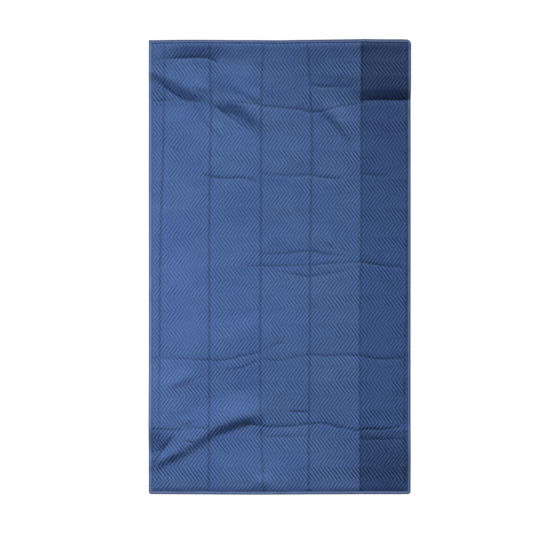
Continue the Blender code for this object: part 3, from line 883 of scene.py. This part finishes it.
def tape_section():
    """Inset and height round the folded tape: along the floor, up the rolled fold, and back inside."""
    middle = TAPE_TOP / 2
    inner = middle - TAPE_THICKNESS
    turns = [math.pi * (step / ROLL_STEPS - 0.5) for step in range(ROLL_STEPS + 1)]
    roll = [(TAPE_ROLL * (1 - math.cos(t)), middle + middle * math.sin(t)) for t in turns]
    hollow = [
        (TAPE_ROLL - (TAPE_ROLL - TAPE_THICKNESS) * math.cos(t), middle + inner * math.sin(t))
        for t in reversed(turns)
    ]
    groove = [
        (TAPE_SEAM + side * TAPE_SEAM_HALF, TAPE_TOP - depth * TAPE_SEAM_DEPTH)
        for side, depth in ((-2, 0), (-1, 0.25), (0, 1), (1, 0.25))
    ]
    lip = [
        (TAPE_WIDTH - 0.3, TAPE_TOP - 0.1),
        (TAPE_WIDTH, TAPE_TOP - 0.4),
        (TAPE_WIDTH, TAPE_TOP - TAPE_THICKNESS),
    ]
    return [(TAPE_WIDTH, 0.0), *roll, (5.0, TAPE_TOP + 0.1), *groove, *lip, *hollow,
            (TAPE_WIDTH, TAPE_THICKNESS)]


def along_outline(ring):
    """Distance along the ring at each of its points, in millimetres."""
    steps = np.hypot(*np.diff(ring, axis=0, append=ring[:1]).T)
    return np.concatenate([[0], np.cumsum(steps)[:-1]]), steps.sum()


def tape_finish():
    """Narrow ribbed weave, paler than the cloth, with painted shade along the fold and inside the seam.
    """
    material, recipe, shader = new_finish("binding weave", TAPE_ROUGHNESS, TAPE_SHEEN)
    place = recipe.node("ShaderNodeTexCoord", out="Object")
    across, along, _ = recipe.parts(recipe.node("ShaderNodeUVMap", {"uv_map": "tape"}))
    ribs = along.wave(TAPE_WEAVE) * across.wave(TAPE_WEAVE)
    patches = recipe.noise(place, 45, 3.0)
    fibres = recipe.noise(place, 1.4, 2.0)
    x, y, _ = [part / MM for part in recipe.parts(place)]
    # Painted shade: the outer fold, wider along the right and the top, and the strip inside the seam;
    # the patches are worn tone.
    far_side = x.rise(*EDGE_SHADE_RIGHT).maths("MAXIMUM", y.rise(*EDGE_SHADE_TOP))
    edge_shade = 1 - (across - EDGE_SHADE_WIDTH - EDGE_SHADE_MORE * far_side).rise(0, EDGE_SHADE_SOFT)
    seam = across.rise(TAPE_SEAM - 0.7, TAPE_SEAM + 0.5)
    shade_and_wear = (edge_shade + seam * SEAM_SHADE + 0.25 * patches.rise(0.5, 0.7)).maths("MINIMUM", 1.0)
    colour = recipe.blend(shade_and_wear, TAPE_PALE, TAPE_SHADE_AND_WEAR)
    height = 0.06 * ribs + 0.08 * fibres
    rough = TAPE_ROUGHNESS + 0.1 * (patches - 0.5)
    finish_with(recipe, shader, recipe.scaled(colour, 0.92 + 0.16 * fibres), rough, height, 1.0)
    return material


def folded_tape():
    """The tape, swept round the blanket. Its inner edges wander a little, as hand-led sewing does."""
    middle = np.array(outline(TAPE_WIDTH / 2))
    distance, whole = along_outline(middle)
    turn = 2 * np.pi * distance / whole
    wander = sum(np.sin(turn * count + phase) for count, phase in TAPE_WAVES) / 2
    mesh = bmesh.new()
    rings = []
    for inset, height in tape_section():
        ring = np.array(outline(inset))
        lift = np.maximum(relief(ring), 0)
        moved = TAPE_WANDER * wander * max(inset - TAPE_WIDTH / 2, 0) / (TAPE_WIDTH / 2)
        inward = np.array(outline(inset + 1)) - ring
        places = np.column_stack([ring + inward * moved[:, None], height + lift]) * MM
        rings.append([mesh.verts.new(point) for point in places])
    insets = [inset for inset, _ in tape_section()]
    layer = mesh.loops.layers.uv.new("tape")
    count = len(middle)
    for k, ring in enumerate(rings):
        after = rings[(k + 1) % len(rings)]
        for i in range(count):
            j = (i + 1) % count
            face = mesh.faces.new((ring[i], ring[j], after[j], after[i]))
            ahead = distance[j] if j else whole
            uvs = ((insets[k], distance[i]), (insets[k], ahead),
                   (insets[(k + 1) % len(rings)], ahead), (insets[(k + 1) % len(rings)], distance[i]))
            for loop, uv in zip(face.loops, uvs):
                loop[layer].uv = uv
    bmesh.ops.recalc_face_normals(mesh, faces=mesh.faces)
    piece = new_piece("binding_tape", mesh)
    piece.data.materials.append(tape_finish())
    return piece


tape = folded_tape()
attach(tape, "root")
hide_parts("edge_binding")


# Binding seam: one row of lockstitches in dark thread near the tape's inner edge, all round the
# blanket. Each stitch is a short bowed length of thread that dips into the tape at both ends.
SEAM_PITCH = 3.7
SEAM_STITCH = 3.1
SEAM_THREAD = 0.62
SEAM_SINK = 0.22
STITCH_SIDES = 6
STITCH_RINGS = 5
THREAD_DARK = (0.014, 0.025, 0.068, 1.0)
THREAD_LIGHT = (0.020, 0.034, 0.086, 1.0)


def thread_finish():
    """Twisted sewing thread, a little glossier than the cloth."""
    material, recipe, shader = new_finish("sewing thread", 0.5, 0.0)
    place = recipe.node("ShaderNodeTexCoord", out="Object")
    x, y, _ = [part / MM for part in recipe.parts(place)]
    twist = (x + y).wave(0.5)
    colour = recipe.blend(0.5 + 0.5 * twist, THREAD_DARK, THREAD_LIGHT)
    finish_with(recipe, shader, colour, 0.5 + 0.1 * twist, 0.05 * twist, 1.0)
    return material


def seam_step(material):
    """Lays one stitch after another along the seam, each turned to lie along it."""
    recipe, inputs = making_step("binding seam", ("pitch", "stitch", "thread"))
    path = recipe.node("GeometryNodeMeshToCurve", None, {"Mesh": inputs["Geometry"]})
    values = {"Curve": path, "Length": inputs["pitch"] * MM}
    stations = recipe.node("GeometryNodeResampleCurve", {"mode": "LENGTH"}, values)
    ball = recipe.node("GeometryNodeMeshUVSphere", None, {
        "Segments": STITCH_SIDES, "Rings": STITCH_RINGS, "Radius": 0.5 * MM})
    heading = recipe.node("GeometryNodeInputTangent")
    turned = recipe.node("FunctionNodeAlignRotationToVector", {"axis": "X"}, {"Vector": heading})
    spread = recipe.node("FunctionNodeRandomValue", {"data_type": "FLOAT"}, {
        "Min": 0.9, "Max": 1.08, "Seed": 5}, 1)
    size = recipe.node("ShaderNodeCombineXYZ", None, {
        "X": inputs["stitch"] * spread, "Y": inputs["thread"], "Z": inputs["thread"]})
    laid = recipe.node("GeometryNodeInstanceOnPoints", None, {
        "Points": stations, "Instance": ball, "Rotation": turned, "Scale": size})
    end_step(recipe, laid, material)
    return recipe


def seam_path():
    """The line of the seam, on top of the tape's groove."""
    ring = np.array(outline(TAPE_SEAM))
    height = TAPE_TOP - SEAM_SINK + np.maximum(relief(ring), 0)
    mesh = bmesh.new()
    made = [mesh.verts.new(point) for point in np.column_stack([ring, height]) * MM]
    for vert, after in zip(made, made[1:] + made[:1]):
        mesh.edges.new((vert, after))
    return new_piece("binding_stitches", mesh)


stitches = seam_path()
run_step(stitches, seam_step(thread_finish()), {
    "pitch": SEAM_PITCH, "stitch": SEAM_STITCH, "thread": SEAM_THREAD})
stitches.data.shade_smooth()
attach(stitches, "root")


# Floor and light: a floor that glows white by itself, so that no shadow shows on it, a soft light
# at the left that falls off towards the right, a harder light from the far end that rakes over
# the folds, and a dim pale room.
FLOOR_SIZE = 16.0
FLOOR_DROP = 0.0003
FLOOR_GREY = (0.04, 0.04, 0.04, 1.0)
FLOOR_WHITE = (1.0, 1.0, 1.0, 1.0)
FLOOR_GLOW = 1.0
ROOM_LIGHT = (0.94, 0.97, 1.0, 1.0)
ROOM_STRENGTH = 0.04
RAKING_STRENGTH = 4.95
RAKING_ANGLE = math.radians(8)
RAKING_FROM = (0.282, 0.895, 0.346)
RAKING_WARM = (1.02, 1.0, 0.96)
SIDE_ENERGY = 20.0
SIDE_PLACE = (-1.2, 0.0, 1.1)
SIDE_SIZE = (0.4, 2.4)
SIDE_COOL = (0.96, 0.99, 1.05)


def pale_floor():
    """A flat floor that glows evenly beside the cloth."""
    mesh = bmesh.new()
    bmesh.ops.create_grid(mesh, x_segments=1, y_segments=1, size=FLOOR_SIZE / 2)
    bmesh.ops.translate(mesh, verts=mesh.verts, vec=(0, 0, -FLOOR_DROP))
    floor = new_piece("floor", mesh)
    material = bpy.data.materials.new("pale floor")
    material.use_nodes = True
    shader = material.node_tree.nodes["Principled BSDF"]
    shader.inputs["Base Color"].default_value = FLOOR_GREY
    shader.inputs["Roughness"].default_value = 0.9
    shader.inputs["Emission Color"].default_value = FLOOR_WHITE
    shader.inputs["Emission Strength"].default_value = FLOOR_GLOW
    floor.data.materials.append(material)
    floor.visible_diffuse = False
    floor.visible_glossy = False
    return floor


def new_light(name, kind, direction, place=(0, 0, 0)):
    """A light that shines along the direction given."""
    lamp = bpy.data.lights.new(name, kind)
    light = bpy.data.objects.new(name, lamp)
    light.location = place
    light.rotation_mode = "QUATERNION"
    light.rotation_quaternion = Vector(direction).to_track_quat("-Z", "Y")
    bpy.context.scene.collection.objects.link(light)
    return lamp


pale_floor()
raking = new_light("raking light", "SUN", -Vector(RAKING_FROM))
raking.energy = RAKING_STRENGTH
raking.angle = RAKING_ANGLE
raking.color = RAKING_WARM
side = new_light("side light", "AREA", -Vector(SIDE_PLACE), SIDE_PLACE)
side.shape = "RECTANGLE"
side.size, side.size_y = SIDE_SIZE
side.energy = SIDE_ENERGY
side.color = SIDE_COOL
world = bpy.data.worlds.new("pale room")
world.use_nodes = True
world.node_tree.nodes["Background"].inputs["Color"].default_value = ROOM_LIGHT
world.node_tree.nodes["Background"].inputs["Strength"].default_value = ROOM_STRENGTH
bpy.context.scene.world = world
bpy.context.scene.view_settings.view_transform = "Standard"


# Camera: straight above, with the blanket's length up the picture. The blanket lies a little to
# the right of the middle of the frame, which is 2.114 m wide at the floor.
CAMERA_HEIGHT = 6.0
CAMERA_PLACE = (-0.0525, 0.0026)
VIEW_WIDTH = 2.114

camera = bpy.data.cameras.new("camera")
camera.lens = camera.sensor_width * CAMERA_HEIGHT / VIEW_WIDTH
viewer = bpy.data.objects.new("camera", camera)
viewer.location = (*CAMERA_PLACE, CAMERA_HEIGHT)
bpy.context.scene.collection.objects.link(viewer)
bpy.context.scene.camera = viewer
